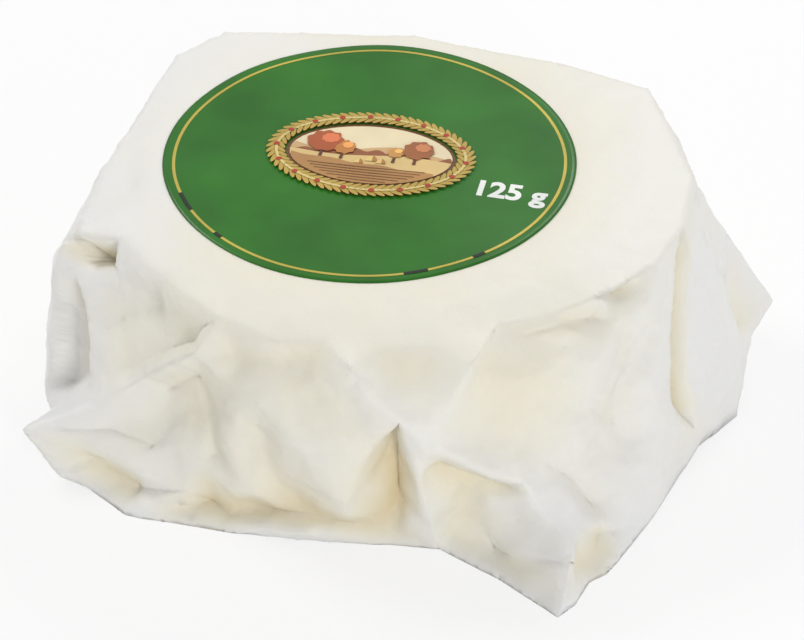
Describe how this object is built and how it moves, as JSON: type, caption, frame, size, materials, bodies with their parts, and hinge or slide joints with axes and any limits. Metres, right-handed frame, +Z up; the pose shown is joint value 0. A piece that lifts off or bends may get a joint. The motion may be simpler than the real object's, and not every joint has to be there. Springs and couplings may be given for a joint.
{
  "type": "wrapped butter block",
  "caption": "Round block of churned butter in a folded sheet of greaseproof paper, with gathered corner ears and a round paper label on its flat top.",
  "frame": {"origin": "middle of the bounding box, on the plane the block rests on", "axes": "+Z up, through the flat top with the label; +X along the front edge of the folded base, to the right; +Y to the back"},
  "size_m": [0.0852, 0.0772, 0.0352],
  "materials": {
    "wrap": "smooth greaseproof paper with a soft sheen, cream where it lies on the butter",
    "label": "coated paper printed green, semi-gloss"
  },
  "bodies": {
    "root": {"wrap": "wrap", "label": "label"}
  },
  "joints": []
}
